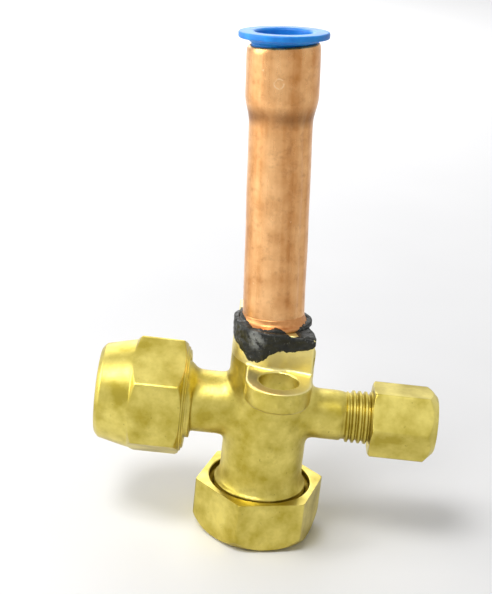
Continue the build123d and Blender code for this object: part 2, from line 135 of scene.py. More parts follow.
class Finish:
    """A material under construction, with its surface shader already in place."""

    def __init__(self, name, **constants):
        self.material = bpy.data.materials.new(name)
        self.material.use_nodes = True
        self.tree = self.material.node_tree
        self.tree.nodes.clear()
        self.shader = self.tree.nodes.new("ShaderNodeBsdfPrincipled")
        output = self.tree.nodes.new("ShaderNodeOutputMaterial")
        self.tree.links.new(self.shader.outputs[0], output.inputs["Surface"])
        for socket_name, value in constants.items():
            self.shader.inputs[socket_name.replace("_", " ")].default_value = value
        self.place = self.node("ShaderNodeTexCoord", {}, {}, out="Object")

    def node(self, kind, settings, sockets, out=0):
        """Add a node: its settings first, then the values or links of its sockets."""
        made = self.tree.nodes.new(kind)
        for key, value in settings.items():
            setattr(made, key, value)
        for key, value in sockets.items():
            if isinstance(value, Signal):
                self.tree.links.new(value.socket, made.inputs[key])
            else:
                made.inputs[key].default_value = value
        return Signal(self, made.outputs[out])

    def noise(self, size_mm, detail=3.0, roughness=0.55, place=None):
        """Cloudy variation whose lumps are about size_mm across."""
        return self.node(
            "ShaderNodeTexNoise",
            {"noise_dimensions": "3D"},
            {
                "Vector": place or self.place,
                "Scale": 1000.0 / size_mm,
                "Detail": detail,
                "Roughness": roughness,
            },
        )

    def mix(self, factor, first, second):
        """A colour part way from first to second."""
        return self.node(
            "ShaderNodeMix", {"data_type": "RGBA"}, {0: factor, 6: first, 7: second}, out=2
        )

    def along(self, name):
        """One coordinate of the surface point, in millimetres."""
        return self.node("ShaderNodeSeparateXYZ", {}, {0: self.place}, out=name) * 1000.0

    def stretched(self, x, y, z, tilt=(0.0, 0.0, 0.0)):
        """The surface point measured along tilted axes and stretched, for streaks and drawn lines."""
        return self.node(
            "ShaderNodeMapping",
            {"vector_type": "TEXTURE"},
            {"Vector": self.place, "Rotation": tilt, "Scale": (x, y, z)},
        )

    def bump(self, height, distance_mm):
        """Turn a height signal into a dented surface and feed it to the shader."""
        dented = self.node(
            "ShaderNodeBump", {}, {"Height": height, "Distance": distance_mm * MM, "Strength": 1.0}
        )
        self.feed("Normal", dented)

    def feed(self, socket_name, signal):
        """Let a signal drive one socket of the surface shader."""
        self.tree.links.new(signal.socket, self.shader.inputs[socket_name])


def rgb(red, green, blue):
    """A colour as it looks on a screen, from 0 to 255, in the linear form that shaders use."""
    channels = [value / 255.0 for value in (red, green, blue)]
    linear = [v / 12.92 if v <= 0.04045 else ((v + 0.055) / 1.055) ** 2.4 for v in channels]
    return (*linear, 1.0)


print("signals and finishes can be written as sums")

# %% [markdown]
# ## Brass
# The body is hot forged and then tumbled or bead blasted, so its skin is a soft matte with faint
# clouds and a few dark specks.  Machined faces are brighter, and that paler tone above the lugs' top
# also paints the light that falls on the top faces.  One function makes each variant, because they
# are the same metal, and the forging's own masks are added on top of it.

# %% Brass finishes
BRASS_LIGHT = rgb(226, 210, 116)
BRASS_DEEP = rgb(178, 160, 62)
BRASS_TARNISH = rgb(112, 96, 30)
BRASS_MILLED_AND_LIT = rgb(246, 234, 172)
MILLED_AND_LIT_SHARE = 0.6  # how far a milled face goes towards the milled tone, which is partly painted light on the top
MILLED_AND_LIT_FLOOR = 40.6  # the cutter worked above this height, just under the lugs' top faces; above it the paler tone is also painted light


def brass(name, grain_mm, grain_depth_mm, roughness, tarnish, milled_and_lit_above=None):
    """Brass with clouds of tone, tarnished specks and a fine grain; milled faces are paler, which also paints
    light on the top faces.
    """
    finish = Finish(name, Metallic=1.0)
    clouds = finish.noise(6.0, detail=4.0).between(0.35, 0.68)
    specks = finish.noise(0.9, detail=2.0).between(0.70, 0.78)
    stains = finish.noise(3.2, detail=5.0, roughness=0.7).between(0.56, 0.8)
    grain = finish.noise(grain_mm, detail=3.0)
    tone = finish.mix(clouds, BRASS_DEEP, BRASS_LIGHT)
    tone = finish.mix(stains * tarnish, tone, BRASS_TARNISH)
    tone = finish.mix(specks * (tarnish * 1.6), tone, BRASS_TARNISH)
    if milled_and_lit_above is not None:
        # Above the lugs' top the paler milled tone also paints the light on the top faces
        milled_and_lit = finish.along("Z").between(milled_and_lit_above, milled_and_lit_above + 0.15)
        tone = finish.mix(milled_and_lit * MILLED_AND_LIT_SHARE, tone, BRASS_MILLED_AND_LIT)
    finish.feed("Base Color", tone)
    finish.feed("Roughness", roughness + (grain - 0.5) * 0.16 + stains * 0.08)
    finish.bump(grain, grain_depth_mm)
    return finish


forged_brass = brass("forged_brass", 0.45, 0.04, 0.40, 0.35, milled_and_lit_above=MILLED_AND_LIT_FLOOR)
turned_brass = brass("turned_brass", 0.30, 0.016, 0.36, 0.22)
print("brass finishes ready")

# %% [markdown]
# ## Lathe shapes with six flats
# A hexagonal nut is turned from a six sided bar: wherever the lathe's outline is larger than the bar,
# the flat is left.  So one rule gives the whole nut: at each angle the radius is the smaller of the
# outline and the bar.  A high power mean rounds the corner between the two by a hair, as a tumbled
# edge is.

# %% Lathe helpers
HEX_CORNER_POWER = 420.0
CHAMFER_POWER = 220.0


def soften(points, radius, steps=4):
    """Round each inner corner of an outline of (along, radius) points."""
    rounded = [points[0]]
    for before, corner, after in zip(points, points[1:], points[2:]):
        before, corner, after = (np.array(p, float) for p in (before, corner, after))
        reach_in = min(radius, np.linalg.norm(before - corner) * 0.45)
        reach_out = min(radius, np.linalg.norm(after - corner) * 0.45)
        start = corner + (before - corner) / np.linalg.norm(before - corner) * reach_in
        end = corner + (after - corner) / np.linalg.norm(after - corner) * reach_out
        for step in range(steps + 1):
            t = step / steps
            rounded.append(tuple((1 - t) ** 2 * start + 2 * t * (1 - t) * corner + t**2 * end))
    rounded.append(points[-1])
    return rounded


def subdivide(points, step):
    """Add points so that no stretch of an outline is longer than step."""
    dense = [points[0]]
    for start, end in zip(points, points[1:]):
        count = max(1, math.ceil(math.dist(start, end) / step))
        for i in range(1, count + 1):
            t = i / count
            dense.append((start[0] + (end[0] - start[0]) * t, start[1] + (end[1] - start[1]) * t))
    return dense


def hexagon_radius(angles, flats, turn):
    """Distance from the centre to a hexagon's side at each angle, with eased corners."""
    total = np.zeros_like(angles)
    for side in range(6):
        middle = turn + math.radians(30 + 60 * side)
        total += np.maximum(np.cos(angles - middle), 0.0) ** HEX_CORNER_POWER
    return flats / 2 * total ** (-1 / HEX_CORNER_POWER)


def mesh_object(name, vertices, faces, material):
    """A mesh object at the origin, with its faces pointing outwards."""
    mesh = bpy.data.meshes.new(name)
    mesh.from_pydata([tuple(v) for v in vertices], [], faces)
    work = bmesh.new()
    work.from_mesh(mesh)
    bmesh.ops.remove_doubles(work, verts=work.verts, dist=1e-7)
    bmesh.ops.dissolve_degenerate(work, edges=work.edges, dist=1e-8)
    bmesh.ops.recalc_face_normals(work, faces=work.faces)
    work.to_mesh(mesh)
    work.free()
    mesh.polygons.foreach_set("use_smooth", [True] * len(mesh.polygons))
    made = bpy.data.objects.new(name, mesh)
    scene.collection.objects.link(made)
    mesh.materials.append(material)
    return made


def grid_faces(rows, columns, close_rows):
    """Quads of a grid that closes round its columns, and round its rows too where asked."""
    faces = []
    for row in range(rows if close_rows else rows - 1):
        upper = (row + 1) % rows
        for column in range(columns):
            right = (column + 1) % columns
            faces.append(
                (
                    row * columns + column,
                    row * columns + right,
                    upper * columns + right,
                    upper * columns + column,
                )
            )
    return faces


class Spindle:
    """An axis to turn pieces about: an origin and three directions, lengths in millimetres."""

    def __init__(self, origin, along, across):
        self.origin = Vector(origin)
        self.along = Vector(along).normalized()
        self.across = Vector(across).normalized()
        self.third = self.along.cross(self.across)

    def points(self, distances, radii, angles):
        """World positions for matching arrays of distance, radius and angle."""
        cosines, sines = np.cos(angles) * radii, np.sin(angles) * radii
        place = (
            np.array(self.origin)[None, :]
            + distances[:, None] * np.array(self.along)
            + cosines[:, None] * np.array(self.across)
            + sines[:, None] * np.array(self.third)
        )
        return place * MM


def turned(name, spindle, outline, material, flats=None, turn=0.0, columns=192, closed=True):
    """Turn an outline of (distance, radius) points; flats limits it to a hexagonal bar."""
    angles = turn + np.arange(columns) / columns * math.tau
    rows = []
    for distance, radius in outline:
        radii = np.full(columns, float(radius))
        if flats is not None and radius > 0:
            bar = hexagon_radius(angles, flats, turn)
            radii = (radii**-CHAMFER_POWER + bar**-CHAMFER_POWER) ** (-1 / CHAMFER_POWER)
        rows.append(spindle.points(np.full(columns, float(distance)), radii, angles))
    vertices = np.concatenate(rows)
    return mesh_object(name, vertices, grid_faces(len(rows), columns, closed), material)


print("lathe helpers ready")

# %% [markdown]
# ## Axes
# The stem stands upright, both side ports share one level axis, and the tube leans a little because it
# was brazed by eye.  The solid model's boxes, joints and mounts say where these axes are.

# %% Axes of the valve
service_low, service_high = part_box("service_cap")
crust_low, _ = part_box("flux_crust")
PORT_HEIGHT = (service_low.z + service_high.z) / 2 / MM
BLOCK_TOP = crust_low.z / MM

stem_line = Spindle((0, 0, 0), (0, 0, 1), (1, 0, 0))
port_line = Spindle((0, 0, PORT_HEIGHT), (1, 0, 0), (0, 1, 0))
pull = next(joint for joint in frame["joints"] if joint["name"] == "plug_pull")
mouth = next(m for m in frame["record"]["mounts"] if m["name"] == "plugged_tube_mouth")
tube_axis = Vector(pull["axis"]).normalized()
tube_foot = Vector(mouth["pos_m"]) / MM
tube_foot -= tube_axis * ((tube_foot.z - BLOCK_TOP) / tube_axis.z)
TUBE_LENGTH = (Vector(mouth["pos_m"]) / MM - tube_foot).length
tube_line = Spindle(tube_foot, tube_axis, (1, 0, -tube_axis.x / tube_axis.z))
nut_line = Spindle((0, 0, PORT_HEIGHT), (-1, 0, 0), (0, 1, 0))
print("port axis", round(PORT_HEIGHT, 2), "mm up, block top", round(BLOCK_TOP, 2))
print("tube", round(TUBE_LENGTH, 2), "mm long above the block")

# %% [markdown]
# ## Threads
# A thread is one ridge that follows a helix.  A Geometry Nodes tree sweeps a trapezium along a spiral:
# its named inputs are the sizes that a thread table gives.  The ridge thins out over the first and last
# half turn, as a real thread runs out.  Nuts and caps get the same ridge pointing inwards, half a pitch
# further on, so that the two threads mesh while one unscrews.

# %% Thread ridge tree
THREAD_STEPS = 72  # stretches in one turn
FLANK_ANGLE = math.radians(30)  # half the angle between two flanks
OUTER_CREST, INNER_CREST = 0.3, 0.08  # width of the ridge's flat top, as a share of the pitch


def thread_tree():
    """Node tree: a trapezium swept along a right-hand spiral about Z."""
    tree = bpy.data.node_groups.new("thread_ridge", "GeometryNodeTree")
    tree.is_modifier = True
    for label in ("Turns", "Radius", "Length", "Depth", "Foot", "Crest", "Side"):
        tree.interface.new_socket(label, in_out="INPUT", socket_type="NodeSocketFloat")
    tree.interface.new_socket("Material", in_out="INPUT", socket_type="NodeSocketMaterial")
    tree.interface.new_socket("Mesh", in_out="OUTPUT", socket_type="NodeSocketGeometry")

    def node(kind, settings, sockets):
        """Add a node and give back its first output; a socket goes by its name or its number."""
        made = tree.nodes.new(kind)
        for key, value in settings.items():
            setattr(made, key, value)
        for key, value in sockets.items():
            if isinstance(value, bpy.types.NodeSocket):
                tree.links.new(value, made.inputs[key])
            else:
                made.inputs[key].default_value = value
        return made.outputs[0]

    def maths(operation, first, second):
        return node("ShaderNodeMath", {"operation": operation}, {0: first, 1: second})

    given = tree.nodes.new("NodeGroupInput").outputs
    spiral = node(
        "GeometryNodeCurveSpiral",
        {},
        {
            "Resolution": THREAD_STEPS,
            "Rotations": given["Turns"],
            "Start Radius": given["Radius"],
            "End Radius": given["Radius"],
            "Height": given["Length"],
            "Reverse": True,
        },
    )
    upright = node("GeometryNodeSetCurveNormal", {"mode": "Z_UP"}, {"Curve": spiral})
    trapezium = node(
        "GeometryNodeCurvePrimitiveQuadrilateral",
        {"mode": "TRAPEZOID"},
        {
            "Bottom Width": given["Foot"],
            "Top Width": given["Crest"],
            "Height": given["Depth"],
            "Offset": 0.0,
        },
    )
    # The trapezium is turned to point outwards or inwards, and its foot is set on the cylinder.
    quarter_turn = maths("MULTIPLY", given["Side"], math.pi / 2)
    half_depth = maths("MULTIPLY", given["Side"], given["Depth"])
    outward = maths("MULTIPLY", half_depth, -0.5)
    turn = node("ShaderNodeCombineXYZ", {}, {"Z": quarter_turn})
    move = node("ShaderNodeCombineXYZ", {}, {"X": outward})
    profile = node(
        "GeometryNodeTransform", {}, {"Geometry": trapezium, "Translation": move, "Rotation": turn}
    )
    # The ridge grows from a tenth to its full size over the half turn at either end.
    factor = node("GeometryNodeSplineParameter", {}, {})
    nearest = maths("MINIMUM", factor, maths("SUBTRACT", 1.0, factor))
    turns_in = maths("MULTIPLY", nearest, given["Turns"])
    run_out = node(
        "ShaderNodeMapRange",
        {"clamp": True},
        {"Value": turns_in, "From Max": 0.5, "To Min": 0.1, "To Max": 1.0},
    )
    swept = node(
        "GeometryNodeCurveToMesh",
        {},
        {"Curve": upright, "Profile Curve": profile, "Scale": run_out, "Fill Caps": True},
    )
    real = node("GeometryNodeRealizeInstances", {}, {"Geometry": swept})
    dressed = node("GeometryNodeSetMaterial", {}, {"Geometry": real, "Material": given["Material"]})
    tree.links.new(dressed, tree.nodes.new("NodeGroupOutput").inputs[0])
    return tree


ridge_tree = thread_tree()


def thread(name, spindle, start, end, pitch, radius, depth, material, inward=False, shift=0.0):
    """A thread ridge standing on a cylinder of the given radius, from start to end along its axis."""
    holder = bpy.data.objects.new(name, bpy.data.meshes.new(name))
    scene.collection.objects.link(holder)
    length = end - start - pitch
    flank = 2 * depth * math.tan(FLANK_ANGLE)
    crest = pitch * (INNER_CREST if inward else OUTER_CREST)
    values = {
        "Turns": length / pitch,
        "Radius": radius * MM,
        "Length": length * MM,
        "Depth": depth * MM,
        "Foot": (crest + flank) * MM,
        "Crest": crest * MM,
        "Side": 1.0 if inward else -1.0,
        "Material": material,
    }
    modifier = holder.modifiers.new("thread", "NODES")
    modifier.node_group = ridge_tree
    for item in ridge_tree.interface.items_tree:
        if item.in_out == "INPUT":
            modifier[item.identifier] = values[item.name]
    holder.update_tag()
    evaluated = holder.evaluated_get(bpy.context.evaluated_depsgraph_get())
    mesh = bpy.data.meshes.new_from_object(evaluated)
    holder.modifiers.clear()
    holder.data = mesh
    base = spindle.origin + spindle.along * (start + pitch / 2 + shift * pitch)
    mesh.transform(
        Matrix.Translation(base * MM)
        @ Matrix((spindle.across, spindle.third, spindle.along)).transposed().to_4x4()
    )
    mesh.polygons.foreach_set("use_smooth", [False] * len(mesh.polygons))
    return holder


def joined(name, *pieces):
    """Join finished pieces into the first one."""
    work = bmesh.new()
    for piece in pieces:
        work.from_mesh(piece.data)
    work.to_mesh(pieces[0].data)
    work.free()
    for piece in pieces[1:]:
        bpy.data.objects.remove(piece)
    pieces[0].name = name
    return pieces[0]


print("thread ridge takes", [item.name for item in ridge_tree.interface.items_tree if item.in_out == "INPUT"])

# %% [markdown]
# ## Forged body
# A forging has no sharp inside corners: metal flows round every junction.  The solid model is remeshed
# on a fine grid, and then the junctions are relaxed: each point moves towards the average of its
# neighbours, more often where the forging is soft and hardly at all where a cutter has been.

# %% Body sizes
BARREL_RADIUS = 8.75
UNION_NECK = 6.6
SERVICE_NECK = 5.3
LUG_TOP = 40.8
LUG_BOTTOM = 35.8
lug_mount = next(m for m in frame["record"]["mounts"] if m["name"] == "lug_holes")
LUG_HOLE = lug_mount["dims"]["hole_r_mm"]
LUG_CENTRES = ((1.4, -13.4), (-1.4, 13.4))
SERVICE_PITCH = 25.4 / 20
UNION_PITCH = 25.4 / 16
CAP_PITCH = 1.5
SERVICE_DEPTH = 0.62
UNION_DEPTH = 0.85
CAP_DEPTH = 0.8
SERVICE_MAJOR, UNION_MAJOR, CAP_MAJOR = 5.55, 9.45, 9.9
SERVICE_THREAD = (15.6, 31.6)
UNION_THREAD = (17.6, 29.0)
CAP_THREAD = (3.9, 10.4)
VOXEL = 0.00036  # the fine grid, in metres
SOFT_ROUNDS, SOFT_PULL = 42, 0.6  # how often and how strongly the junctions are relaxed
PIP_PLACE = Vector((1.6, -20.1, 38.4))  # a small burr on the front lug's rim
PIP_SIZE, PIP_HEIGHT = 0.75, 0.4
RIPPLE_SIZE, RIPPLE_HEIGHT = 3.1, 0.05
print("threads start", SERVICE_THREAD[0], "and", UNION_THREAD[0], "mm from the stem's axis")


def smooth_step(values, low, high):
    """0 at low, 1 at high, with soft ends; low may be the larger."""
    t = np.clip((values - low) / (high - low), 0, 1)
    return t * t * (3 - 2 * t)


def merged_copy(node):
    """The welded triangles of a solid, as a mesh that can be worked on."""
    work = bmesh.new()
    work.from_mesh(frame["nodes"][node].data)
    bmesh.ops.remove_doubles(work, verts=work.verts, dist=1e-6)
    return work


def relax(points, edges, weights, rounds):
    """Move points towards the average of their neighbours, as far as their weights allow."""
    count = np.zeros(len(points))
    np.add.at(count, edges[:, 0], 1)
    np.add.at(count, edges[:, 1], 1)
    count = np.maximum(count, 1)[:, None]
    for _ in range(rounds):
        total = np.zeros_like(points)
        np.add.at(total, edges[:, 0], points[edges[:, 1]])
        np.add.at(total, edges[:, 1], points[edges[:, 0]])
        points = points + (total / count - points) * weights[:, None]
    return points


def forged_body():
    """The body: thread zones turned down to their roots, remeshed, then softened like a forging."""
    work = merged_copy("valve_body")
    for vertex in work.verts:
        x, y, z = vertex.co / MM
        port = math.hypot(y, z - PORT_HEIGHT)
        stem = math.hypot(x, y)
        for low, high, along, radius, major, depth in (
            (SERVICE_THREAD[0], SERVICE_THREAD[1] + 1, x, port, SERVICE_MAJOR, SERVICE_DEPTH),
            (UNION_THREAD[0] - 0.5, UNION_THREAD[1] + 1, -x, port, UNION_MAJOR, UNION_DEPTH),
        ):
            if low < along < high and radius > major - depth:
                scale = (major - depth) / radius
                vertex.co.y *= scale
                vertex.co.z = (PORT_HEIGHT + (z - PORT_HEIGHT) * scale) * MM
        if z < CAP_THREAD[1] and stem > CAP_MAJOR - CAP_DEPTH:
            vertex.co.x *= (CAP_MAJOR - CAP_DEPTH) / stem
            vertex.co.y *= (CAP_MAJOR - CAP_DEPTH) / stem
    rough = bpy.data.meshes.new("rough_body")
    work.to_mesh(rough)
    turned_down = BVHTree.FromBMesh(work)
    work.free()
    block = bpy.data.objects.new("rough_body", rough)
    scene.collection.objects.link(block)
    remesh = block.modifiers.new("grid", "REMESH")
    remesh.mode = "VOXEL"
    remesh.voxel_size = VOXEL
    mesh = bpy.data.meshes.new_from_object(block.evaluated_get(bpy.context.evaluated_depsgraph_get()))
    bpy.data.objects.remove(block)

    points = np.empty(len(mesh.vertices) * 3)
    mesh.vertices.foreach_get("co", points)
    points = points.reshape(-1, 3) / MM
    edges = np.empty(len(mesh.edges) * 2, dtype=np.int32)
    mesh.edges.foreach_get("vertices", edges)
    edges = edges.reshape(-1, 2)

    x, y, z = points.T
    stem = np.hypot(x, y)
    port = np.hypot(y, z - PORT_HEIGHT)
    neck = np.where(x < 0, UNION_NECK, SERVICE_NECK)
    off_barrel = np.abs(stem - BARREL_RADIUS)
    off_neck = np.abs(port - neck)
    junction = smooth_step(off_barrel, 3.6, 1.0) * smooth_step(off_neck, 3.2, 1.2)
    junction *= smooth_step(np.abs(x), 14.5, 12.0)
    under_lugs = smooth_step(z, LUG_BOTTOM + 1.5, LUG_BOTTOM + 0.2) * smooth_step(z, 31.0, 34.0)
    lug_sides = smooth_step(z, LUG_BOTTOM - 2, LUG_BOTTOM) * smooth_step(z, LUG_TOP - 0.2, LUG_TOP - 1.2)
    soft = np.maximum.reduce([junction, under_lugs * 0.8, lug_sides * 0.35])
    from_hole = np.minimum.reduce([np.hypot(x - cx, y - cy) for cx, cy in LUG_CENTRES])
    soft *= smooth_step(from_hole, LUG_HOLE + 0.3, LUG_HOLE + 1.2)
    # Bores are drilled after forging, so only the outside is softened.
    outside = smooth_step(np.maximum(stem - 7.0, port - 4.6), 0.0, 0.3)
    points = relax(points, edges, soft * outside * SOFT_PULL, SOFT_ROUNDS)
    x, y, z = points.T
    # The shoulder's right side slims down towards the back: what lies past reach is pulled in.
    reach = 6.2 + 1.7 * smooth_step(-y, 1.5, 8.0) - 0.4 * np.maximum(y, 0)
    shoulder = smooth_step(z, np.where(y > 0, 41.0, 37.0), 45.5) * smooth_step(y, 10.0, 8.0)
    trim = shoulder * smooth_step(x, reach, reach + 0.2)
    points[:, 0] = x - trim * (x - reach)
    # What was neither softened nor trimmed goes back onto the cutter's exact surface.
    shaped = np.clip(soft * outside * 1.5 + trim * 2, 0, 1)
    snapped = np.array([tuple(turned_down.find_nearest(Vector(p) * MM)[0] / MM) for p in points])
    points = points + (snapped - points) * (1 - shaped)[:, None]
    points = relax(points, edges, outside * 0.4, 1)
    from_pip = np.linalg.norm(points - np.array(PIP_PLACE), axis=1)
    points[:, 1] -= smooth_step(from_pip, PIP_SIZE, 0.1) * PIP_HEIGHT

    # A forging die wears, which leaves its walls a hair uneven.
    ripple = np.zeros(len(points))
    for i, point in enumerate(points):
        ripple[i] = noise.noise(Vector(point) / RIPPLE_SIZE)
    centre = np.stack([np.zeros(len(points)), np.zeros(len(points)), z], axis=1)
    away = points - centre
    away /= np.maximum(np.linalg.norm(away, axis=1), 1e-6)[:, None]
    points += away * (ripple * outside * RIPPLE_HEIGHT * smooth_step(z, 11.0, 15.0))[:, None]

    mesh.vertices.foreach_set("co", (points * MM).ravel())
    mesh.polygons.foreach_set("use_smooth", [True] * len(mesh.polygons))
    mesh.materials.clear()
    mesh.materials.append(forged_brass.material)
    made = bpy.data.objects.new("forged_body", mesh)
    scene.collection.objects.link(made)
    return made


body = forged_body()
print("forged body has", len(body.data.polygons), "faces")

service_thread = thread(
    "service_thread", port_line, *SERVICE_THREAD, SERVICE_PITCH, SERVICE_MAJOR - SERVICE_DEPTH - 0.02,
    SERVICE_DEPTH, turned_brass.material,
)
union_thread = thread(
    "union_thread", nut_line, *UNION_THREAD, UNION_PITCH, UNION_MAJOR - UNION_DEPTH - 0.02, UNION_DEPTH,
    turned_brass.material,
)
cap_thread = thread(
    "cap_thread", stem_line, *CAP_THREAD, CAP_PITCH, CAP_MAJOR - CAP_DEPTH - 0.02, CAP_DEPTH,
    turned_brass.material,
)
for piece in (body, service_thread, union_thread, cap_thread):
    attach(piece, "root")
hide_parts("valve_body")
print("thread faces:", [len(p.data.polygons) for p in (service_thread, union_thread, cap_thread)])

# %% [markdown]
# ## Nut and caps
# All three are turned from hexagonal bar.  Their outlines below are what the lathe cuts: a chamfer that
# leaves the scalloped edge on each flat, a round nose on the flare nut and a drilled and threaded bore.

# %% Flare nut
NUT_FLATS, NUT_TURN = 22.6, math.radians(26.3)
nut_outline = soften(
    [
        (17.3, 9.57), (17.0, 9.8), (17.0, 10.35), (17.42, 10.5), (17.42, 11.0), (17.85, 11.1),
        (17.85, 11.55), (18.7, 13.0), (27.4, 13.2), (28.5, 11.45), (34.9, 9.95), (35.8, 8.9),
        (35.8, 6.9), (35.3, 6.4), (32.61, 6.4), (29.44, 9.57), (17.3, 9.57),
    ],
    0.3,
)
nut = turned(
    "flare_nut_skin", nut_line, subdivide(nut_outline, 0.3), turned_brass.material, NUT_FLATS, -NUT_TURN,
    columns=180,
)
nut_thread = thread(
    "nut_thread", nut_line, UNION_THREAD[0] - 0.2, UNION_THREAD[1], UNION_PITCH, 9.59, UNION_DEPTH - 0.1,
    turned_brass.material, inward=True, shift=0.5 + 0.2 / UNION_PITCH,
)
nut = joined("flare_nut_skin", nut, nut_thread)
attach(nut, "nut")
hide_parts("flare_nut")
print("flare nut has", len(nut.data.polygons), "faces")

# %% Service cap
SERVICE_FLATS, SERVICE_TURN = 14.0, math.radians(-5.4)
service_outline = soften(
    [
        (35.5, 0.0), (35.5, 5.9), (33.3, 8.15), (22.3, 8.2), (21.8, 7.5), (21.8, 6.2), (22.4, 5.67),
        (32.7, 5.67), (32.7, 0.0),
    ],
    0.3,
)
service = turned(
    "service_cap_skin", port_line, subdivide(service_outline, 0.25), turned_brass.material, SERVICE_FLATS,
    SERVICE_TURN, columns=180, closed=False,
)
service_ridge = thread(
    "service_ridge", port_line, 22.0, 31.4, SERVICE_PITCH, 5.69, SERVICE_DEPTH - 0.08,
    turned_brass.material, inward=True, shift=0.5 - ((22.0 - SERVICE_THREAD[0]) / SERVICE_PITCH) % 1.0,
)
service = joined("service_cap_skin", service, service_ridge)
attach(service, "service")
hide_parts("service_cap")
print("service cap has", len(service.data.polygons), "faces")

# %% Stem cap
CAP_FLATS, CAP_TURN = 24.2, math.radians(14.1)
cap_outline = soften(
    [
        (0.0, 0.0), (0.0, 11.25), (0.9, 12.5), (2.2, 13.5), (3.5, 14.1), (11.4, 14.2), (11.4, 10.95),
        (11.2, 10.85), (10.0, 10.85), (9.3, 10.02), (2.6, 10.02), (2.6, 0.0),
    ],
    0.35,
)
cap = turned(
    "stem_cap_skin", stem_line, subdivide(cap_outline, 0.3), turned_brass.material, CAP_FLATS, CAP_TURN,
    columns=180, closed=False,
)
cap_ridge = thread(
    "cap_ridge", stem_line, 3.4, 9.4, CAP_PITCH, 10.04, CAP_DEPTH - 0.1, turned_brass.material,
    inward=True, shift=0.5 - ((3.4 - CAP_THREAD[0]) / CAP_PITCH) % 1.0,
)
cap = joined("stem_cap_skin", cap, cap_ridge)
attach(cap, "cap")
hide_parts("stem_cap")
print("stem cap has", len(cap.data.polygons), "faces")

# %% [markdown]
# ## Copper tube
# Soft copper marks easily.  This one has two shallow creases along its right side, a dent above the
# joint and small nicks.  Its top is swaged: pressed open over a mandrel so that the next pipe slides in.

# %% Tube sizes
TUBE_RADIUS, TUBE_BORE = 6.35, 5.35
SOCKET_DEPTH = 6.0
SWAGE_RADIUS, SWAGE_BORE = 7.3, 6.5
SWAGE_START = TUBE_LENGTH - 11.2
SWAGE_FOOT = SWAGE_START - 3.8
# Each crease: degrees in front of the tube's right side, how much it sways, its width and its depth.
CREASES = ((62, 1.0, 5.5, 0.26), (38, 0.7, 6.0, 0.24))
print("the tube widens from", round(SWAGE_FOOT, 2), "to", round(SWAGE_START, 2), "mm above the block")

# %% Copper finish
TUBE_TILT = tuple(Matrix((tube_line.across, tube_line.third, tube_line.along)).transposed().to_euler())
NICK_PLACE = tube_line.origin + tube_line.along * 49.5 - tube_line.third * 7.3 - tube_line.across * 0.6
copper = Finish("copper", Metallic=1.0)
tube_frame = copper.stretched(1.0, 1.0, 1.0, TUBE_TILT)
height = copper.node("ShaderNodeSeparateXYZ", {}, {0: tube_frame}, out="Z") * 1000.0
height = height - tube_line.origin.dot(tube_line.along)
# A band round the swage's taper, which faces down, is darkened: painted shade
taper_shade_start = height.between(SWAGE_FOOT - 1.6, SWAGE_FOOT + 0.4)
swage_painted_shade = taper_shade_start * height.between(SWAGE_START - 0.6, SWAGE_FOOT + 1.2)
copper_clouds = copper.noise(4.0, detail=5.0).between(0.3, 0.7)
copper_stains = copper.noise(2.2, detail=5.0, roughness=0.7).between(0.52, 0.75)
copper_grain = copper.noise(0.5, detail=3.0)
streaks = copper.noise(3.2, detail=3.0, place=copper.stretched(1.0, 1.0, 30.0, TUBE_TILT)).between(0.36, 0.64)
draw_lines = copper.noise(0.4, detail=2.0, place=copper.stretched(1.0, 1.0, 16.0, TUBE_TILT))
from_nick = copper.node(
    "ShaderNodeVectorMath",
    {"operation": "DISTANCE"},
    {0: copper.place, 1: tuple(NICK_PLACE * MM)},
    out="Value",
) * 1000.0
broken = copper.noise(1.1, detail=2.0).between(0.42, 0.5)
nick = from_nick.between(0.75, 0.9) * from_nick.between(1.15, 1.0) * broken
marks = copper.noise(2.6, detail=3.0, roughness=0.65).between(0.715, 0.75)
copper_tone = copper.mix(streaks * 0.5 + copper_clouds * 0.5, rgb(190, 126, 66), rgb(246, 194, 136))
copper_tone = copper.mix(copper_stains * 0.4, copper_tone, rgb(136, 78, 36))
# The swage's taper gets its painted shade here
copper_tone = copper.mix(swage_painted_shade * (0.35 + copper_clouds * 0.45), copper_tone, rgb(104, 60, 28))
copper_tone = copper.mix(nick * 0.8 + marks * 0.7, copper_tone, rgb(246, 208, 162))
copper.feed("Base Color", copper_tone)
copper.feed("Roughness", 0.30 + copper_stains * 0.12 + (draw_lines - 0.5) * 0.2)
copper.bump(copper_grain * 0.5 + draw_lines * 0.5, 0.03)
print("copper finish ready")

# %% Copper tube
tube_outline = soften(
    [
        (-SOCKET_DEPTH, TUBE_BORE), (-SOCKET_DEPTH, TUBE_RADIUS), (SWAGE_FOOT, TUBE_RADIUS),
        (SWAGE_START, SWAGE_RADIUS), (TUBE_LENGTH - 1.2, SWAGE_RADIUS), (TUBE_LENGTH - 0.35, 7.12),
        (TUBE_LENGTH, 6.82), (TUBE_LENGTH, SWAGE_BORE),
        (SWAGE_START, SWAGE_BORE), (SWAGE_FOOT, TUBE_BORE), (-SOCKET_DEPTH, TUBE_BORE),
    ],
    1.4,
    steps=6,
)
tube = turned("copper_tube_skin", tube_line, subdivide(tube_outline, 0.5), copper.material, columns=144)


